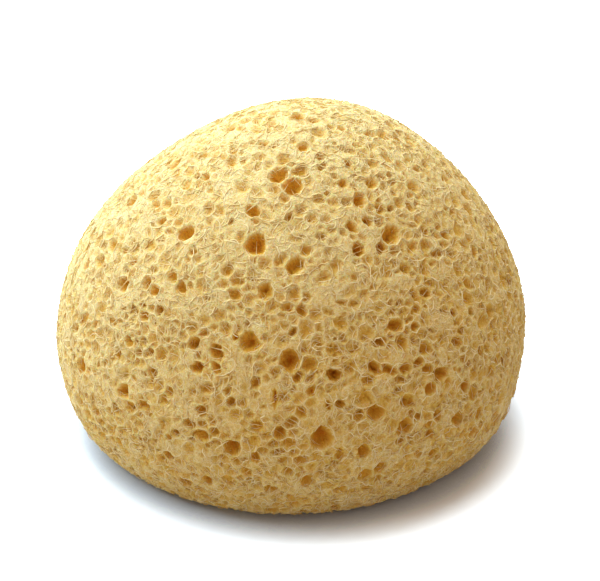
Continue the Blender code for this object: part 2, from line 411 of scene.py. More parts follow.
    def build(self, skin: SpongeSkin) -> bpy.types.Object:
        """Makes the net: one face for each opening, with its depth and its reach, and the walls as edges.

        The openings' directions, each pushed out by its width, have a hull, and its triangles are the corners
        of the net. So a wide opening keeps a wide face beside narrow ones.

        Args:
            skin: the form that the net lies on, already built.

        Returns:
            An object with a closed net of many-sided faces.
        """
        rays, mouths, depths = self.seats(skin)
        rng = np.random.default_rng(self.seed + 1)
        reach = np.linalg.norm(skin.points(rays) - (0, 0, skin.waist_height), axis=1)
        hull = bmesh.new()
        for ray, angle in zip(rays, mouths / 2 / reach):
            hull.verts.new(ray / math.cos(angle))
        hull.verts.index_update()
        bmesh.ops.convex_hull(hull, input=hull.verts)
        bmesh.ops.recalc_face_normals(hull, faces=hull.faces)
        hull.faces.index_update()
        hull.edges.index_update()
        weights = mouths ** -self.evenness
        corners = np.array([[v.index for v in face.verts] for face in hull.faces])
        places = (rays[corners] * weights[corners][:, :, None]).sum(axis=1)
        ends = np.array([[face.index for face in edge.link_faces] for edge in hull.edges])
        places = np.concatenate([places, places[ends].sum(axis=1)])
        points = skin.points(places / np.linalg.norm(places, axis=1)[:, None]) - skin.middle
        points += rng.uniform(-self.sway, self.sway, points.shape) * (points[:, 2:] > self.sway)
        faces, kept = [], []
        for vert in hull.verts:
            if not vert.link_loops:
                continue
            first = loop = vert.link_loops[0]
            ring = []
            while True:
                ring += [loop.face.index, len(corners) + loop.link_loop_prev.edge.index]
                loop = loop.link_loop_prev.link_loop_radial_next
                if loop == first:
                    break
            faces.append(ring)
            kept.append(vert.index)
        hull.free()
        mesh = bpy.data.meshes.new("cell_net")
        mesh.from_pydata([tuple(point) for point in points], [], faces)
        inner = [np.linalg.norm(points[ring] - points[ring].mean(axis=0), axis=1).mean() for ring in faces]
        mesh.attributes.new("cell_depth", "FLOAT", "FACE").data.foreach_set("value", depths[kept])
        mesh.attributes.new("cell_reach", "FLOAT", "FACE").data.foreach_set("value", inner)
        net = bpy.data.objects.new("cell_net", mesh)
        bpy.context.collection.objects.link(net)
        log.info("cell net: %d openings, %d walls", len(faces), len(ends))
        return net


@dataclass(frozen=True)
class FoamLayer:
    """One grade of cells in the fibre: how far apart, how many are open and how deep, and their walls."""

    spacing: float
    open_share: float
    least: float
    most: float
    wall: float
    offset: tuple[float, float, float]


def new_tree(name: str, sockets: Sockets) -> tuple[Tree, dict[str, str]]:
    """Starts a Geometry Nodes tree with a geometry in and out and named inputs.

    Args:
        name: the tree's name.
        sockets: each further input's Blender socket type and its value.

    Returns:
        The tree, and the identifier of each named input.
    """
    tree = bpy.data.node_groups.new(name, "GeometryNodeTree")
    tree.interface.new_socket("Geometry", in_out="INPUT", socket_type="NodeSocketGeometry")
    tree.interface.new_socket("Geometry", in_out="OUTPUT", socket_type="NodeSocketGeometry")
    identifiers = {}
    for label, (kind, _) in sockets.items():
        identifiers[label] = tree.interface.new_socket(label, in_out="INPUT", socket_type=kind).identifier
    return tree, identifiers


def run_tree(
    source: bpy.types.Object | None, tree: Tree, identifiers: dict[str, str], sockets: Sockets, name: str
) -> bpy.types.Object:
    """Runs a Geometry Nodes tree on a copy of an object and keeps the result as a plain mesh.

    Args:
        source: the object whose mesh goes in, or None for an empty one.
        tree: the tree, with the inputs that sockets names.
        identifiers: the identifier of each named input.
        sockets: each input's Blender socket type and its value.
        name: the new object's name.

    Returns:
        An object at the origin that holds the result and no modifier.
    """
    carrier = bpy.data.objects.new(name, source.data.copy() if source else bpy.data.meshes.new(name))
    bpy.context.collection.objects.link(carrier)
    modifier = carrier.modifiers.new(tree.name, "NODES")
    modifier.node_group = tree
    for label, (_, value) in sockets.items():
        modifier[identifiers[label]] = value
    depsgraph = bpy.context.evaluated_depsgraph_get()
    mesh = bpy.data.meshes.new_from_object(carrier.evaluated_get(depsgraph))
    carrier.modifiers.clear()
    carrier.data = mesh
    mesh.name = name
    return carrier


@dataclass
class SpongeBody:
    """The one-piece body: the skin with its pores and its foam of cells carved into it."""

    skin: SpongeSkin
    layers: tuple[FoamLayer, ...] = (
        FoamLayer(1.35 * MM, 0.50, 0.20 * MM, 0.55 * MM, 0.16 * MM, (0.051, 0.019, 0.083)),
        FoamLayer(0.85 * MM, 0.60, 0.08 * MM, 0.22 * MM, 0.12 * MM, (0.097, 0.043, 0.011)),
    )
    fineness: int = 2
    # The spacing and the reach of each swing that makes the cells' outlines uneven.
    unevenness: tuple[tuple[float, float], ...] = ((2.4 * MM, 1.1 * MM), (0.8 * MM, 0.40 * MM))
    edge_share: float = 0.17
    wall: float = 0.22 * MM
    # Cells are more open the further down a pore they are, between two depths.
    pore_range: tuple[float, float] = (0.4 * MM, 1.6 * MM)
    pore_openness: tuple[float, float] = (0.8, 1.5)
    # Cells are more open in some patches than in others, and more at the foot than at the crown.
    patch_spacing: float = 11 * MM
    more_open: tuple[float, float, float] = (3.0, -2.0, -5.5)
    patch_range: tuple[float, float] = (0.14, 0.5)
    patch_openness: tuple[float, float] = (0.34, 1.05)
    tall_cells: float = 1.25
    # Each slit's bearing and latitude in degrees, and its length.
    slits: tuple[tuple[float, float, float], ...] = (
        (-4.2, 13, 7.0 * MM),
        (5, 15, 2.6 * MM),
        (9, 11, 2.4 * MM),
        (-16, 27, 2.2 * MM),
        (12, -2, 2.4 * MM),
        (-36, 11, 2.6 * MM),
        (-48, 14, 2.6 * MM),
    )
    slit_width: float = 1.2 * MM
    slit_depth: float = 1.0 * MM
    # Painted shade: a slit is coloured like a pore this deep.
    slit_shade_depth: float = 4.2 * MM
    most_triangles: int = 194_000

    def net_depth(self, tree: Tree, net: bpy.types.NodeSocket, position: Node) -> Node:
        """Depth of the opening of the net that a point is in: nothing on its walls, and most in its middle.

        Args:
            tree: the tree being made.
            net: the cell net, with each face's depth and reach.
            position: the point of the skin.

        Returns:
            A node for the depth, in metres.
        """
        values = []
        for name in ("cell_depth", "cell_reach"):
            attribute = add_node(tree, "GeometryNodeInputNamedAttribute", {"Name": name}, data_type="FLOAT")
            values.append(
                add_node(
                    tree,
                    "GeometryNodeSampleNearestSurface",
                    {"Mesh": net, "Value": attribute, "Sample Position": position},
                    data_type="FLOAT",
                )
            )
        depth, reach = values
        border = add_node(
            tree, "GeometryNodeProximity", {0: net, "Sample Position": position}, target_element="EDGES"
        ).outputs["Distance"]
        off_wall = add_node(tree, "ShaderNodeMath", {0: border, 1: self.wall / 2}, operation="SUBTRACT")
        share = add_node(tree, "ShaderNodeMath", {0: off_wall, 1: reach}, operation="DIVIDE", use_clamp=True)
        rest_of = add_node(tree, "ShaderNodeMath", {0: 2.0, 1: share}, operation="SUBTRACT")
        bowl = add_node(tree, "ShaderNodeMath", {0: share, 1: rest_of}, operation="MULTIPLY")
        return add_node(tree, "ShaderNodeMath", {0: bowl, 1: depth}, operation="MULTIPLY")

    def slit_share(self, tree: Tree, position: Node) -> Node | float:
        """How far into one of the narrow upright slits a point of the skin is.

        Args:
            tree: the tree being made.
            position: the point of the skin, with its outline already made uneven.

        Returns:
            A node for the share, from 0 at a slit's edge to 1 along its middle.
        """
        share: Node | float = 0.0
        for bearing, latitude, length in self.slits:
            seat = self.skin.points(self.skin.direction(bearing, latitude)[None, :])[0] - self.skin.middle
            squash = (1.0, 1.0, self.slit_width / length)
            away = add_node(tree, "ShaderNodeVectorMath", {0: position, 1: tuple(seat)}, operation="SUBTRACT")
            away = add_node(tree, "ShaderNodeVectorMath", {0: away, 1: squash}, operation="MULTIPLY")
            away = add_node(tree, "ShaderNodeVectorMath", {0: away}, operation="LENGTH").outputs["Value"]
            slit = add_node(
                tree,
                "ShaderNodeMapRange",
                {"Value": away, "From Min": self.slit_width / 2, "From Max": self.slit_width / 8},
            )
            share = add_node(tree, "ShaderNodeMath", {0: share, 1: slit}, operation="MAXIMUM")
        return share

    def cell_depth(self, tree: Tree, layer: FoamLayer, position: Node) -> Node:
        """Depth that one grade of cells opens at a point: nothing on a wall and most in a cell's middle.

        Args:
            tree: the tree being made.
            layer: the grade of cells.
            position: the point, in the fibre's own space.

        Returns:
            A node for the depth, in metres.
        """
        place = add_node(tree, "ShaderNodeVectorMath", {0: position, 1: layer.offset}, operation="ADD")
        scale = 1 / layer.spacing
        nearest = add_node(tree, "ShaderNodeTexVoronoi", {"Vector": place, "Scale": scale}, feature="F1")
        border = add_node(
            tree, "ShaderNodeTexVoronoi", {"Vector": place, "Scale": scale}, feature="DISTANCE_TO_EDGE"
        )
        chance = add_node(tree, "FunctionNodeSeparateColor", {"Color": nearest.outputs["Color"]})
        closed = 1 - layer.open_share
        ends = {"From Min": closed, "From Max": 1.0, "To Min": layer.least, "To Max": layer.most}
        depth = add_node(tree, "ShaderNodeMapRange", {"Value": chance, **ends})
        is_open = add_node(tree, "ShaderNodeMath", {0: chance, 1: closed}, operation="GREATER_THAN")
        wall = layer.wall / layer.spacing / 2
        off_wall = add_node(
            tree,
            "ShaderNodeMapRange",
            {"Value": border, "From Min": wall, "From Max": wall + self.edge_share},
            interpolation_type="SMOOTHSTEP",
        )
        mask = add_node(tree, "ShaderNodeMath", {0: is_open, 1: off_wall}, operation="MULTIPLY")
        return add_node(tree, "ShaderNodeMath", {0: depth, 1: mask}, operation="MULTIPLY")

    def carve_tree(self) -> tuple[Tree, dict[str, str], Sockets]:
        """Makes the tree that carves pores and cells into the skin.

        Returns:
            The tree, the identifier of each of its inputs, and the inputs themselves.
        """
        sockets: Sockets = {
            "Cell Net": ("NodeSocketObject", None),
            "Fineness": ("NodeSocketInt", self.fineness),
            "Unevenness": ("NodeSocketFloat", 1.0),
        }
        tree, identifiers = new_tree("carve_sponge", sockets)
        entry = add_node(tree, "NodeGroupInput")
        split = add_node(
            tree,
            "GeometryNodeSubdivideMesh",
            {"Mesh": entry.outputs["Geometry"], "Level": entry.outputs["Fineness"]},
        )
        kept = add_node(
            tree,
            "GeometryNodeStoreNamedAttribute",
            {"Geometry": split, "Name": "rest", "Value": add_node(tree, "GeometryNodeInputPosition")},
            data_type="FLOAT_VECTOR",
            domain="POINT",
        )
        rest = add_node(tree, "GeometryNodeInputNamedAttribute", {"Name": "rest"}, data_type="FLOAT_VECTOR")
        normal = add_node(
            tree, "GeometryNodeInputNamedAttribute", {"Name": "skin_normal"}, data_type="FLOAT_VECTOR"
        )
        normal = add_node(tree, "ShaderNodeVectorMath", {0: normal}, operation="NORMALIZE")
        inward = add_node(tree, "ShaderNodeVectorMath", {0: normal, "Scale": -1.0}, operation="SCALE")
        place = rest
        for spacing, strength in self.unevenness:
            reach = add_node(
                tree, "ShaderNodeMath", {0: entry.outputs["Unevenness"], 1: strength}, operation="MULTIPLY"
            )
            shift = wander(tree, rest, spacing, reach)
            place = add_node(tree, "ShaderNodeVectorMath", {0: place, 1: shift}, operation="ADD")

        net = add_node(
            tree, "GeometryNodeObjectInfo", {"Object": entry.outputs["Cell Net"]}
        ).outputs["Geometry"]
        slit = self.slit_share(tree, place)
        cut = add_node(tree, "ShaderNodeMath", {0: slit, 1: self.slit_depth}, operation="MULTIPLY")
        depth = self.net_depth(tree, net, rest)
        depth = add_node(tree, "ShaderNodeMath", {0: depth, 1: cut}, operation="MAXIMUM")
        patches = add_node(
            tree, "ShaderNodeTexNoise", {"Vector": rest, "Scale": 1 / self.patch_spacing, "Detail": 1.0}
        ).outputs["Fac"]
        lower = add_node(
            tree, "ShaderNodeVectorMath", {0: rest, 1: self.more_open}, operation="DOT_PRODUCT"
        ).outputs["Value"]
        patches = add_node(tree, "ShaderNodeMath", {0: lower, 1: patches}, operation="ADD")
        shares = []
        for value, (low, high), (least, most) in (
            (depth, self.pore_range, self.pore_openness),
            (patches, self.patch_range, self.patch_openness),
        ):
            ends = {"Value": value, "From Min": low, "From Max": high, "To Min": least, "To Max": most}
            shares.append(add_node(tree, "ShaderNodeMapRange", ends))
        in_pore, openness = shares
        in_pore = add_node(tree, "ShaderNodeMath", {0: in_pore, 1: openness}, operation="MULTIPLY")
        tall = (1.0, 1.0, 1 / self.tall_cells)
        for layer in self.layers:
            sunk = add_node(tree, "ShaderNodeVectorMath", {0: inward, "Scale": depth}, operation="SCALE")
            spot = add_node(tree, "ShaderNodeVectorMath", {0: place, 1: sunk}, operation="ADD")
            spot = add_node(tree, "ShaderNodeVectorMath", {0: spot, 1: tall}, operation="MULTIPLY")
            cell = self.cell_depth(tree, layer, spot)
            cell = add_node(tree, "ShaderNodeMath", {0: cell, 1: in_pore}, operation="MULTIPLY")
            depth = add_node(tree, "ShaderNodeMath", {0: depth, 1: cell}, operation="ADD")

        offset = add_node(tree, "ShaderNodeVectorMath", {0: inward, "Scale": depth}, operation="SCALE")
        target = add_node(tree, "ShaderNodeVectorMath", {0: rest, 1: offset}, operation="ADD")
        target = add_node(
            tree, "ShaderNodeVectorMath", {0: target, 1: (-1.0, -1.0, 0.0)}, operation="MAXIMUM"
        )
        carved = add_node(tree, "GeometryNodeSetPosition", {"Geometry": kept, "Position": target})
        # Painted shade: the slits take the colour of the deepest pores, whatever their carved depth.
        tone = add_node(tree, "ShaderNodeMath", {0: slit, 1: self.slit_shade_depth}, operation="MULTIPLY")
        tone = add_node(tree, "ShaderNodeMath", {0: depth, 1: tone}, operation="MAXIMUM")
        carved = add_node(
            tree,
            "GeometryNodeStoreNamedAttribute",
            {"Geometry": carved, "Name": "pore_depth", "Value": tone},
            data_type="FLOAT",
            domain="POINT",
        )
        smooth = add_node(tree, "GeometryNodeSetShadeSmooth", {"Geometry": carved, "Shade Smooth": True})
        real = add_node(tree, "GeometryNodeRealizeInstances", {"Geometry": smooth})
        add_node(tree, "NodeGroupOutput", {"Geometry": real})
        return tree, identifiers, sockets

    def build(
        self, even: bpy.types.Object, net: bpy.types.Object, material: bpy.types.Material
    ) -> bpy.types.Object:
        """Carves the body finely, thins it to the piece's triangles and gives it its finish.

        Args:
            even: the even skin's object.
            net: the cell net's object.
            material: the body's finish.

        Returns:
            The carved body.
        """
        tree, identifiers, sockets = self.carve_tree()
        sockets["Cell Net"] = ("NodeSocketObject", net)
        dense = run_tree(even, tree, identifiers, sockets, "carved_fine")
        log.info("carved body: %d faces before thinning", len(dense.data.polygons))
        body = self.thin(dense, material)
        bpy.data.objects.remove(dense, do_unlink=True)
        return body

    def thin(self, dense: bpy.types.Object, material: bpy.types.Material) -> bpy.types.Object:
        """Thins the finely carved body, and reads its attributes again at the points that are left.

        Args:
            dense: the finely carved body.
            material: the body's finish.

        Returns:
            The body with its finish.
        """
        thinned = bpy.data.objects.new("thinned", dense.data.copy())
        bpy.context.collection.objects.link(thinned)
        decimate = thinned.modifiers.new("thin", "DECIMATE")
        dense.data.calc_loop_triangles()
        decimate.ratio = self.most_triangles / len(dense.data.loop_triangles)
        depsgraph = bpy.context.evaluated_depsgraph_get()
        thin_mesh = bpy.data.meshes.new_from_object(thinned.evaluated_get(depsgraph))
        thinned.modifiers.clear()
        thinned.data = thin_mesh

        sockets: Sockets = {
            "Carved Fine": ("NodeSocketObject", dense),
            "Material": ("NodeSocketMaterial", material),
        }
        tree, identifiers = new_tree("read_attributes", sockets)
        entry = add_node(tree, "NodeGroupInput")
        info = add_node(tree, "GeometryNodeObjectInfo", {"Object": entry.outputs["Carved Fine"]})
        position = add_node(tree, "GeometryNodeInputPosition")
        geometry = entry.outputs["Geometry"]
        kinds = {"rest": "FLOAT_VECTOR", "skin_normal": "FLOAT_VECTOR", "pore_depth": "FLOAT"}
        for name, kind in kinds.items():
            value = add_node(tree, "GeometryNodeInputNamedAttribute", {"Name": name}, data_type=kind)
            sampled = add_node(
                tree,
                "GeometryNodeSampleNearestSurface",
                {"Mesh": info.outputs["Geometry"], "Value": value, "Sample Position": position},
                data_type=kind,
            )
            geometry = add_node(
                tree,
                "GeometryNodeStoreNamedAttribute",
                {"Geometry": geometry, "Name": name, "Value": sampled},
                data_type=kind,
                domain="POINT",
            )
        raised = add_node(
            tree, "ShaderNodeVectorMath", {0: position, 1: (-1.0, -1.0, 0.0)}, operation="MAXIMUM"
        )
        geometry = add_node(tree, "GeometryNodeSetPosition", {"Geometry": geometry, "Position": raised})
        smooth = add_node(tree, "GeometryNodeSetShadeSmooth", {"Geometry": geometry, "Shade Smooth": True})
        real = add_node(tree, "GeometryNodeRealizeInstances", {"Geometry": smooth})
        finished = add_node(
            tree, "GeometryNodeSetMaterial", {"Geometry": real, "Material": entry.outputs["Material"]}
        )
        add_node(tree, "NodeGroupOutput", {"Geometry": finished})
        body = run_tree(thinned, tree, identifiers, sockets, "sponge_body")
        bpy.data.objects.remove(thinned, do_unlink=True)
        return body


def sweep(tree: Tree, curves: Node, radius: Any, scale: Node, material: bpy.types.NodeSocket) -> None:
    """Turns curves into closed tubes with their finish, and ends the tree with them.

    Args:
        tree: the tree being made.
        curves: the middle lines of the fibres.
        radius: a tube's radius where the scale is 1.
        scale: the share of the radius at each point.
        material: the fibres' finish.
    """
    ring = add_node(tree, "GeometryNodeCurvePrimitiveCircle", {"Resolution": TUBE_SIDES, "Radius": radius})
    tubes = add_node(
        tree,
        "GeometryNodeCurveToMesh",
        {"Curve": curves, "Profile Curve": ring, "Scale": scale, "Fill Caps": True},
    )
    smooth = add_node(tree, "GeometryNodeSetShadeSmooth", {"Geometry": tubes, "Shade Smooth": True})
    real = add_node(tree, "GeometryNodeRealizeInstances", {"Geometry": smooth})
    finished = add_node(tree, "GeometryNodeSetMaterial", {"Geometry": real, "Material": material})
    add_node(tree, "NodeGroupOutput", {"Geometry": finished})


@dataclass
class WallFibres:
    """Fibres along the net's walls, so that each open cell has a pale round rim, as one piece."""

    name: str
    share: float
    thickness: float
    seed: int
    points: int = 4
    # The thinnest fibre is this share of the thickness.
    thinnest: float = 0.5
    sway: float = 0.30 * MM
    sway_spacing: float = 0.7 * MM
    rise: float = 0.03 * MM
    centre: tuple[float, float, float] = (0.0, 0.0, 20 * MM)
    lowest: float = 1.2 * MM

    def build(self, net: bpy.types.Object, material: bpy.types.Material) -> bpy.types.Object:
        """Lays a fibre along some of the walls.

        Args:
            net: the cell net.
            material: the fibres' finish.

        Returns:
            One object that holds all of these fibres.
        """
        sockets: Sockets = {
            "Material": ("NodeSocketMaterial", material),
            "Share": ("NodeSocketFloat", self.share),
            "Thickness": ("NodeSocketFloat", self.thickness),
            "Sway": ("NodeSocketFloat", self.sway),
            "Seed": ("NodeSocketInt", self.seed),
        }
        tree, identifiers = new_tree(f"lay_{self.name}", sockets)
        entry = add_node(tree, "NodeGroupInput").outputs
        walls = add_node(
            tree,
            "GeometryNodeDeleteGeometry",
            {"Geometry": entry["Geometry"], "Selection": True},
            domain="FACE",
            mode="ONLY_FACE",
        )
        curves = add_node(tree, "GeometryNodeMeshToCurve", {"Mesh": walls})
        curves = add_node(tree, "GeometryNodeCurveSplineType", {"Curve": curves}, spline_type="CATMULL_ROM")
        curves = add_node(tree, "GeometryNodeResampleCurve", {"Curve": curves, "Count": self.points})
        chance = add_node(tree, "FunctionNodeRandomValue", {"Seed": entry["Seed"]}, data_type="FLOAT")
        spare = add_node(
            tree, "FunctionNodeCompare", {"A": chance, "B": entry["Share"]}, operation="GREATER_THAN"
        )
        curves = add_node(
            tree, "GeometryNodeDeleteGeometry", {"Geometry": curves, "Selection": spare}, domain="CURVE"
        )
        here = add_node(tree, "GeometryNodeInputPosition")
        height = add_node(tree, "ShaderNodeSeparateXYZ", {0: here}).outputs["Z"]
        low = add_node(tree, "FunctionNodeCompare", {"A": height, "B": self.lowest}, operation="LESS_THAN")
        curves = add_node(
            tree, "GeometryNodeDeleteGeometry", {"Geometry": curves, "Selection": low}, domain="CURVE"
        )
        for name, seed, least in (("shade", 1, 0.0), ("girth", 2, self.thinnest)):
            value = add_node(
                tree, "FunctionNodeRandomValue", {"Min": least, "Max": 1.0, "Seed": seed}, data_type="FLOAT"
            )
            curves = add_node(
                tree,
                "GeometryNodeStoreNamedAttribute",
                {"Geometry": curves, "Name": name, "Value": value},
                data_type="FLOAT",
                domain="CURVE",
            )
        sway = wander(tree, here, self.sway_spacing, entry["Sway"])
        middle = add_node(tree, "ShaderNodeVectorMath", {0: here, 1: self.centre}, operation="SUBTRACT")
        outward = add_node(tree, "ShaderNodeVectorMath", {0: middle}, operation="NORMALIZE")
        rise = add_node(tree, "ShaderNodeVectorMath", {0: outward, "Scale": self.rise}, operation="SCALE")
        offset = add_node(tree, "ShaderNodeVectorMath", {0: sway, 1: rise}, operation="ADD")
        curves = add_node(tree, "GeometryNodeSetPosition", {"Geometry": curves, "Offset": offset})
        girth = add_node(tree, "GeometryNodeInputNamedAttribute", {"Name": "girth"}, data_type="FLOAT")
        girth = add_node(tree, "ShaderNodeMath", {0: girth, 1: entry["Thickness"]}, operation="MULTIPLY")
        sweep(tree, curves, 0.5, girth, entry["Material"])
        return run_tree(net, tree, identifiers, sockets, self.name)


@dataclass
class FibreCoat:
    """Fine fibres that lie on the body's surface and bridge its cells, as one piece."""

    name: str
    density: float
    length: tuple[float, float]
    thickness: float
    bend: float
    lift: float
    drape: float
    deepest: float
    seed: int
    points: int = 5
    curl: float = 1.1 * MM
    curl_spacing: float = 1.3 * MM
    # A fibre is this share of its thickness at its tips.
    tip_share: float = 0.35
    lowest: float = 1.2 * MM

    def tree(self) -> tuple[Tree, dict[str, str], Sockets]:
        """Makes the tree that scatters, bends and drapes the fibres.

        Returns:
            The tree, the identifier of each of its inputs, and the inputs themselves.
        """
        sockets: Sockets = {
            "Body": ("NodeSocketObject", None),
            "Material": ("NodeSocketMaterial", None),
            "Density": ("NodeSocketFloat", self.density),
            "Least Length": ("NodeSocketFloat", self.length[0]),
            "Most Length": ("NodeSocketFloat", self.length[1]),
            "Thickness": ("NodeSocketFloat", self.thickness),
            "Bend": ("NodeSocketFloat", self.bend),
            "Lift": ("NodeSocketFloat", self.lift),
            "Drape": ("NodeSocketFloat", self.drape),
            "Curl": ("NodeSocketFloat", self.curl),
            "Deepest": ("NodeSocketFloat", self.deepest),
            "Seed": ("NodeSocketInt", self.seed),
        }
        tree, identifiers = new_tree(f"lay_{self.name}", sockets)
        entry = add_node(tree, "NodeGroupInput").outputs
        body = add_node(tree, "GeometryNodeObjectInfo", {"Object": entry["Body"]}).outputs["Geometry"]
        depth = add_node(tree, "GeometryNodeInputNamedAttribute", {"Name": "pore_depth"}, data_type="FLOAT")
        normal = add_node(
            tree, "GeometryNodeInputNamedAttribute", {"Name": "skin_normal"}, data_type="FLOAT_VECTOR"
        )
        height = add_node(
            tree, "ShaderNodeSeparateXYZ", {0: add_node(tree, "GeometryNodeInputPosition")}
        ).outputs["Z"]
        on_wall = add_node(
            tree, "FunctionNodeCompare", {"A": depth, "B": entry["Deepest"]}, operation="LESS_THAN"
        )
        off_floor = add_node(
            tree, "FunctionNodeCompare", {"A": height, "B": self.lowest}, operation="GREATER_THAN"
        )
        chosen = add_node(tree, "FunctionNodeBooleanMath", {0: on_wall, 1: off_floor}, operation="AND")
        roots = add_node(
            tree,
            "GeometryNodeDistributePointsOnFaces",
            {"Mesh": body, "Selection": chosen, "Density": entry["Density"], "Seed": entry["Seed"]},
        )
        points = roots.outputs["Points"]
        chances = (("bend", -1.0, 1.0), ("lift", -0.2, 1.0), ("shade", 0.0, 1.0))
        for seed, (name, least, most) in enumerate(chances, 1):
            chance = add_node(
                tree, "FunctionNodeRandomValue", {"Min": least, "Max": most, "Seed": seed}, data_type="FLOAT"
            )
            points = add_node(
                tree,
                "GeometryNodeStoreNamedAttribute",
                {"Geometry": points, "Name": name, "Value": chance},
                data_type="FLOAT",
                domain="POINT",
            )
        along = add_node(
            tree,
            "FunctionNodeRandomValue",
            {"Min": (-1.0, -1.0, -1.0), "Max": (1.0, 1.0, 1.0), "Seed": 7},
            data_type="FLOAT_VECTOR",
        )
        turned = add_node(
            tree,
            "FunctionNodeAxesToRotation",
            {"Primary Axis": normal, "Secondary Axis": along},
            primary_axis="Z",
            secondary_axis="X",
        )
        length = add_node(
            tree,
            "FunctionNodeRandomValue",
            {"Min": entry["Least Length"], "Max": entry["Most Length"], "Seed": 9},
            data_type="FLOAT",
        )
        line = add_node(
            tree, "GeometryNodeCurvePrimitiveLine", {"Start": (-0.5, 0.0, 0.0), "End": (0.5, 0.0, 0.0)}
        )
        line = add_node(tree, "GeometryNodeResampleCurve", {"Curve": line, "Count": self.points})
        laid = add_node(
            tree,
            "GeometryNodeInstanceOnPoints",
            {"Points": points, "Instance": line, "Rotation": turned, "Scale": length},
        )
        fibres = add_node(tree, "GeometryNodeRealizeInstances", {"Geometry": laid})

        factor = add_node(tree, "GeometryNodeSplineParameter").outputs["Factor"]
        rest_of = add_node(tree, "ShaderNodeMath", {0: 1.0, 1: factor}, operation="SUBTRACT")
        arch = add_node(tree, "ShaderNodeMath", {0: factor, 1: rest_of}, operation="MULTIPLY")
        arch = add_node(tree, "ShaderNodeMath", {0: arch, 1: 4.0}, operation="MULTIPLY")
        tangent = add_node(tree, "GeometryNodeInputTangent")
        side = add_node(tree, "ShaderNodeVectorMath", {0: normal, 1: tangent}, operation="CROSS_PRODUCT")
        here = add_node(tree, "GeometryNodeInputPosition")
        moved = wander(tree, here, self.curl_spacing, entry["Curl"])
        for name, direction in (("bend", side), ("lift", normal)):
            share = add_node(tree, "GeometryNodeInputNamedAttribute", {"Name": name}, data_type="FLOAT")
            reach = add_node(tree, "ShaderNodeMath", {0: share, 1: entry[name.title()]}, operation="MULTIPLY")
            reach = add_node(tree, "ShaderNodeMath", {0: reach, 1: arch}, operation="MULTIPLY")
            shift = add_node(tree, "ShaderNodeVectorMath", {0: direction, "Scale": reach}, operation="SCALE")
            moved = add_node(tree, "ShaderNodeVectorMath", {0: moved, 1: shift}, operation="ADD")
        fibres = add_node(tree, "GeometryNodeSetPosition", {"Geometry": fibres, "Offset": moved})
        nearest = add_node(
            tree, "GeometryNodeProximity", {0: body}, target_element="FACES"
        ).outputs["Position"]
        to_body = add_node(tree, "ShaderNodeVectorMath", {0: nearest, 1: here}, operation="SUBTRACT")
        to_body = add_node(
            tree, "ShaderNodeVectorMath", {0: to_body, "Scale": entry["Drape"]}, operation="SCALE"
        )
        fibres = add_node(tree, "GeometryNodeSetPosition", {"Geometry": fibres, "Offset": to_body})

        taper = add_node(tree, "ShaderNodeMath", {0: arch, 1: 0.5}, operation="POWER")
        taper = add_node(
            tree, "ShaderNodeMapRange", {"Value": taper, "To Min": self.tip_share, "To Max": 1.0}
        )
        radius = add_node(tree, "ShaderNodeMath", {0: entry["Thickness"], 1: 0.5}, operation="MULTIPLY")
        sweep(tree, fibres, radius, taper, entry["Material"])
        return tree, identifiers, sockets

    def build(self, body: bpy.types.Object, material: bpy.types.Material) -> bpy.types.Object:
        """Lays the fibres on the body.

        Args:
            body: the carved body, with its skin normals and the depth of its pores.
            material: the fibres' finish.

        Returns:
            One object that holds all the fibres of this coat.
        """
        tree, identifiers, sockets = self.tree()
        sockets["Body"] = ("NodeSocketObject", body)
        sockets["Material"] = ("NodeSocketMaterial", material)
        return run_tree(None, tree, identifiers, sockets, self.name)


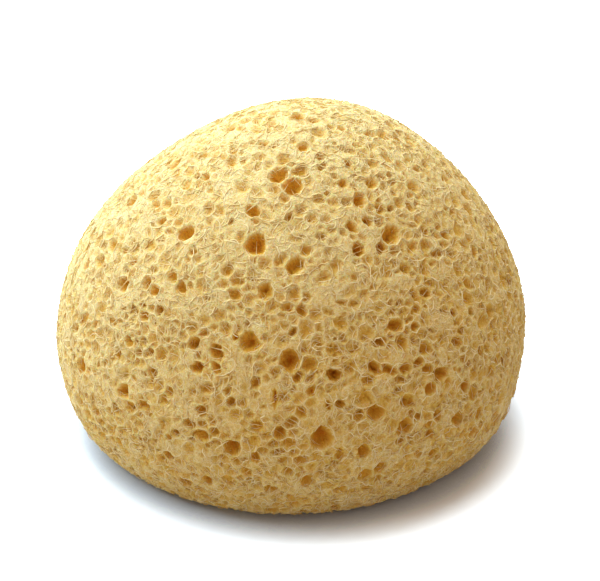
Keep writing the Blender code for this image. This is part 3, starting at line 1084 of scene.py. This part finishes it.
@dataclass(frozen=True)
class DrySpongeFibre:
    """Spongin, the horny fibre of a natural sponge, grown and then dried in air.

    It is matt and pale where it is thin. Its hollows are painted honey-brown, darker the deeper they go:
    painted shade for the shade and the warm light through the fibre there. Its crown is painted paler:
    painted light.
    """

    # The colour for each share of a pore's full depth, from the rim down: painted shade, darker and more
    # orange the deeper it goes.
    stops: tuple[tuple[float, str], ...] = (
        (0.0, "#F5D79A"),
        (0.05, "#EEC679"),
        (0.12, "#E8B95C"),
        (0.22, "#E3AB42"),
        (0.45, "#E3A838"),
        (0.72, "#DB9428"),
        (1.0, "#CC6012"),
    )
    thread_colours: tuple[str, str] = ("#FFE7B2", "#EBC274")
    # Painted light: on the crown, on the side that the key light comes from, the colour is mixed towards this
    # pale one.
    painted_light_colour: str = "#FAEDB6"
    body_painted_light: float = 0.48
    thread_painted_light: float = 0.26
    painted_light_direction: tuple[float, float, float] = (-0.45, 0.25, 0.85)
    # The painted light starts and is full at these two distances that way, and ends at this share of the
    # depth.
    painted_light_range: tuple[float, float] = (8 * MM, 58 * MM)
    painted_light_ends: float = 0.3
    roughness: float = 0.92
    specular: float = 0.2
    glow: float = 0.5
    glow_depth: float = 1.6 * MM
    glow_radius: tuple[float, float, float] = (1.0, 0.62, 0.25)
    # The depth at which the painted shade down a pore is at its darkest.
    full_depth: float = 4.2 * MM
    # Each net of cells too small to carve: spacing, wall, depth and share of the colour's depth, which paints
    # shade into the hollows.
    cells: tuple[float, float, float, float] = (0.95 * MM, 0.26 * MM, 0.08 * MM, 0.06)
    pits: tuple[float, float, float, float] = (0.5 * MM, 0.15 * MM, 0.10 * MM, 0.065)
    crest: float = 0.02 * MM
    uneven_spacing: float = 0.9 * MM
    uneven_reach: float = 1.1 * MM
    felt_spacing: float = 0.4 * MM
    felt_height: float = 0.12 * MM
    patch_spacing: float = 5 * MM
    patch_range: tuple[float, float] = (0.35, 0.65)
    patch_least: float = 0.35
    bump_strength: float = 0.9

    def shader(self, tree: Tree, colour: Any, bump: Any, glow: float, hidden: Any, painted_light: float) -> None:
        """Adds the matt shader of body and fibres, with painted light: paler towards the crown, on the key
        light's side.

        Args:
            tree: the material's tree.
            colour: the colour without the bleaching.
            bump: the bumped normal, or None.
            glow: the share of light that spreads under the surface.
            hidden: how far down a pore a point is, from 0 to 1; the painted light fades out down there.
            painted_light: how far the colour is painted paler on the crown, as painted light.
        """
        # Painted light: towards the crown, on the key light's side, the colour is mixed to a paler one, less
        # down the pores.
        place = add_node(tree, "ShaderNodeTexCoord").outputs["Object"]
        along = add_node(
            tree, "ShaderNodeVectorMath", {0: place, 1: self.painted_light_direction}, operation="DOT_PRODUCT"
        ).outputs["Value"]
        low, high = self.painted_light_range
        share = add_node(
            tree,
            "ShaderNodeMapRange",
            {"Value": along, "From Min": low, "From Max": high, "To Max": painted_light},
            interpolation_type="SMOOTHSTEP",
        )
        painted_light_kept = add_node(
            tree,
            "ShaderNodeMapRange",
            {"Value": hidden, "From Max": self.painted_light_ends, "To Min": 1.0, "To Max": 0.0},
        )
        share = add_node(tree, "ShaderNodeMath", {0: share, 1: painted_light_kept}, operation="MULTIPLY")
        colour = add_node(
            tree,
            "ShaderNodeMix",
            {"Factor": share, "A": colour, "B": linear(self.painted_light_colour)},
            data_type="RGBA",
        )
        inputs = {
            "Base Color": colour,
            "Roughness": self.roughness,
            "Specular IOR Level": self.specular,
            "Subsurface Weight": glow,
            "Subsurface Radius": self.glow_radius,
            "Subsurface Scale": self.glow_depth,
        }
        if bump is not None:
            inputs["Normal"] = bump
        shader = add_node(tree, "ShaderNodeBsdfPrincipled", inputs)
        add_node(tree, "ShaderNodeOutputMaterial", {"Surface": shader})

    def body(self) -> bpy.types.Material:
        """Makes the body's finish: pale ridges around honey cells, with painted shade, darker down the cells
        and pores.

        Returns:
            The material, for a mesh with the attributes rest and pore_depth.
        """
        # Dried spongin is woolly and lets light through, so its shadows are warm and nothing on it shines.
        material = new_material("dry_sponge_fibre")
        tree = material.node_tree
        rest = add_node(tree, "ShaderNodeAttribute", attribute_name="rest").outputs["Vector"]
        depth = add_node(tree, "ShaderNodeAttribute", attribute_name="pore_depth").outputs["Fac"]
        shift = wander(tree, rest, self.uneven_spacing, self.uneven_reach)
        place = add_node(tree, "ShaderNodeVectorMath", {0: rest, 1: shift}, operation="ADD")
        nets = []
        for spacing, wall, _, _ in (self.cells, self.pits):
            border = add_node(
                tree,
                "ShaderNodeTexVoronoi",
                {"Vector": place, "Scale": 1 / spacing},
                feature="DISTANCE_TO_EDGE",
            )
            nets.append(
                add_node(
                    tree,
                    "ShaderNodeMapRange",
                    {"Value": border, "From Min": self.crest / spacing, "From Max": wall / spacing},
                    interpolation_type="SMOOTHSTEP",
                )
            )
        felt, patches = (
            add_node(
                tree, "ShaderNodeTexNoise", {"Vector": rest, "Scale": 1 / spacing, "Detail": 2.0}
            ).outputs["Fac"]
            for spacing in (self.felt_spacing, self.patch_spacing)
        )
        low, high = self.patch_range
        openness = add_node(
            tree,
            "ShaderNodeMapRange",
            {"Value": patches, "From Min": low, "From Max": high, "To Min": self.patch_least, "To Max": 1.0},
        )
        nets[0] = add_node(tree, "ShaderNodeMath", {0: nets[0], 1: openness}, operation="MULTIPLY")
        height: Any = 0.0
        share: Any = 0.0
        # Painted shade: the hollows of the bumped cells and pits raise the colour's depth, so they come out
        # darker.
        for net, (_, _, hollow, tone) in zip(nets, (self.cells, self.pits)):
            height = add_node(
                tree, "ShaderNodeMath", {0: net, 1: -hollow, 2: height}, operation="MULTIPLY_ADD"
            )
            share = add_node(tree, "ShaderNodeMath", {0: net, 1: tone, 2: share}, operation="MULTIPLY_ADD")
        height = add_node(
            tree, "ShaderNodeMath", {0: felt, 1: self.felt_height, 2: height}, operation="MULTIPLY_ADD"
        )
        # Painted shade: the colour darkens down the pores, by their depth.
        share = add_node(
            tree, "ShaderNodeMath", {0: depth, 1: 1 / self.full_depth, 2: share}, operation="MULTIPLY_ADD"
        )
        bump = add_node(
            tree, "ShaderNodeBump", {"Strength": self.bump_strength, "Distance": 1.0, "Height": height}
        )
        colour = add_node(tree, "ShaderNodeValToRGB", {"Fac": share})
        while len(colour.color_ramp.elements) < len(self.stops):
            colour.color_ramp.elements.new(0.5)
        for element, (stop, shade) in zip(colour.color_ramp.elements, self.stops):
            element.position = stop
            element.color = linear(shade)
        self.shader(tree, colour, bump, self.glow, share, self.body_painted_light)
        return material

    def threads(self) -> bpy.types.Material:
        """Makes the finish of single fibres, paler than the body and uneven from one to the next.

        Returns:
            The material, for a mesh with the attribute shade.
        """
        # A single fibre of spongin is so thin that it looks like pale straw and has no depth to glow.
        material = new_material("pale_sponge_thread")
        tree = material.node_tree
        chance = add_node(tree, "ShaderNodeAttribute", attribute_name="shade").outputs["Fac"]
        colour = add_node(
            tree,
            "ShaderNodeMix",
            {"Factor": chance, "A": linear(self.thread_colours[0]), "B": linear(self.thread_colours[1])},
            data_type="RGBA",
        )
        # The fibres get a smaller share of the painted light on the crown.
        self.shader(tree, colour, None, 0.0, 0.0, self.thread_painted_light)
        return material


WALL_FIBRES = (
    WallFibres("wall_fibres_thick", 0.16, 0.27 * MM, 11),
    WallFibres("wall_fibres_thin", 0.26, 0.20 * MM, 12),
)
FIBRE_COATS = (
    FibreCoat(
        "strands_a", 0.25e6, (1.4 * MM, 3.8 * MM), thickness=0.25 * MM, bend=0.80 * MM, lift=0.22 * MM,
        drape=0.82, deepest=0.7 * MM, seed=3, points=7,
    ),
    FibreCoat(
        "strands_b", 0.25e6, (1.2 * MM, 3.0 * MM), thickness=0.20 * MM, bend=0.70 * MM, lift=0.20 * MM,
        drape=0.82, deepest=0.9 * MM, seed=4, points=7,
    ),
    FibreCoat(
        "fine_fibres", 0.25e6, (0.8 * MM, 2.2 * MM), thickness=0.15 * MM, bend=0.50 * MM, lift=0.14 * MM,
        drape=0.82, deepest=1.1 * MM, seed=5,
    ),
    FibreCoat(
        "long_threads", 0.012e6, (2.5 * MM, 6.0 * MM), thickness=0.17 * MM, bend=1.1 * MM, lift=0.45 * MM,
        drape=0.45, deepest=0.4 * MM, seed=6, points=9,
    ),
)


@dataclass
class Studio:
    """A plain pale floor, a soft key light from behind on the left, and the photograph's camera."""

    lens: float = 141.0
    distance: float = 0.45
    elevation: float = 30.0
    aim: tuple[float, float, float] = (0.0018, -0.001, 0.0282)
    floor_half: float = 1.5
    paper: str = "#CFCFCF"
    # The floor's colour, as the eye sees it, is a painted shadow: it follows how much of the sky each point
    # sees, from shadow to open.
    shadow_reach: float = 34 * MM
    shadow_range: tuple[float, float] = (0.42, 0.82)
    shadow_tone: tuple[float, float, float, float] = (0.61, 0.69, 0.84, 1.0)
    open_tone: tuple[float, float, float, float] = (2.5, 2.65, 2.9, 1.0)
    sky: str = "#FFEBD7"
    sky_strength: float = 0.47
    key_direction: tuple[float, float, float] = (-0.43, 0.47, 0.84)
    key_distance: float = 1.0
    key_size: float = 1.8
    key_power: float = 34.5
    key_colour: str = "#E2F7FF"

    def floor(self) -> None:
        """Makes the floor, a matt white sheet that keeps the sponge's shadow."""
        mesh = bpy.data.meshes.new("floor")
        half = self.floor_half
        corners = [(-half, -half, 0), (half, -half, 0), (half, half, 0), (-half, half, 0)]
        mesh.from_pydata(corners, [], [(0, 1, 2, 3)])
        floor = bpy.data.objects.new("floor", mesh)
        bpy.context.collection.objects.link(floor)
        # Matt white paper with a painted shadow: to the eye it is white in the open and a pale blue-grey near
        # the sponge, which shuts off part of the sky.
        material = new_material("white_paper_floor")
        tree = material.node_tree
        paper = add_node(tree, "ShaderNodeBsdfDiffuse", {"Color": linear(self.paper)})
        open_sky = add_node(tree, "ShaderNodeAmbientOcclusion", {"Distance": self.shadow_reach}, samples=8)
        low, high = self.shadow_range
        share = add_node(
            tree, "ShaderNodeMapRange", {"Value": open_sky.outputs["AO"], "From Min": low, "From Max": high}
        )
        tone = add_node(
            tree,
            "ShaderNodeMix",
            {"Factor": share, "A": self.shadow_tone, "B": self.open_tone},
            data_type="RGBA",
        )
        lit = add_node(tree, "ShaderNodeBsdfDiffuse", {"Color": tone})
        mixed = add_node(tree, "ShaderNodeMixShader", {0: seen_rays(tree), 1: paper, 2: lit})
        add_node(tree, "ShaderNodeOutputMaterial", {"Surface": mixed})
        mesh.materials.append(material)

    def key(self) -> None:
        """Adds the key light, a wide square one that faces the sponge from above and behind, on the left."""
        data = bpy.data.lights.new("key", "AREA")
        data.size = self.key_size
        data.energy = self.key_power
        data.color = linear(self.key_colour)[:3]
        lamp = bpy.data.objects.new("key", data)
        ray = Vector(self.key_direction).normalized()
        lamp.location = ray * self.key_distance + Vector(self.aim)
        lamp.rotation_euler = ray.to_track_quat("Z", "Y").to_euler()
        bpy.context.collection.objects.link(lamp)

    def world(self) -> None:
        """Makes the white surroundings, which also light the side away from the key."""
        world = bpy.data.worlds.new("white_surroundings")
        world.use_nodes = True
        tree = world.node_tree
        tree.nodes.clear()
        seen = seen_rays(tree)
        strength = add_node(
            tree, "ShaderNodeMapRange", {"Value": seen, "To Min": self.sky_strength, "To Max": 1.0}
        )
        tint = add_node(
            tree,
            "ShaderNodeMix",
            {"Factor": seen, "A": linear(self.sky), "B": (1, 1, 1, 1)},
            data_type="RGBA",
        )
        back = add_node(tree, "ShaderNodeBackground", {"Color": tint, "Strength": strength})
        add_node(tree, "ShaderNodeOutputWorld", {"Surface": back})
        bpy.context.scene.world = world

    def camera(self) -> None:
        """Places the camera as the photograph was taken."""
        data = bpy.data.cameras.new("camera")
        data.lens = self.lens
        data.clip_start = 0.01
        camera = bpy.data.objects.new("camera", data)
        tilt = math.radians(self.elevation)
        back = Vector((0, -math.cos(tilt), math.sin(tilt)))
        camera.location = Vector(self.aim) + back * self.distance
        camera.rotation_euler = back.to_track_quat("Z", "Y").to_euler()
        bpy.context.collection.objects.link(camera)
        bpy.context.scene.camera = camera

    def build(self) -> None:
        """Builds the floor, the light and the camera."""
        self.floor()
        self.world()
        self.key()
        self.camera()
        bpy.context.scene.view_settings.view_transform = "Standard"


def main() -> None:
    """Builds the sponge's looks and the studio, and reports each piece."""
    logging.basicConfig(level=logging.INFO, format="%(name)s: %(message)s")
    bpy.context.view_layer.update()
    finish = DrySpongeFibre()
    skin = SpongeSkin()
    even = skin.build()
    net = CellNet().build(skin)
    body = SpongeBody(skin).build(even, net, finish.body())
    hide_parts("sponge")
    pieces = [body]
    threads = finish.threads()
    for walls in WALL_FIBRES:
        pieces.append(walls.build(net, threads))
    for coat in FIBRE_COATS:
        pieces.append(coat.build(body, threads))
    for spare in (even, net):
        bpy.data.objects.remove(spare, do_unlink=True)
    for piece in pieces:
        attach(piece, "root")
        log.info("%s: %d faces", piece.name, len(piece.data.polygons))
    Studio().build()


if __name__ == "__main__":
    main()
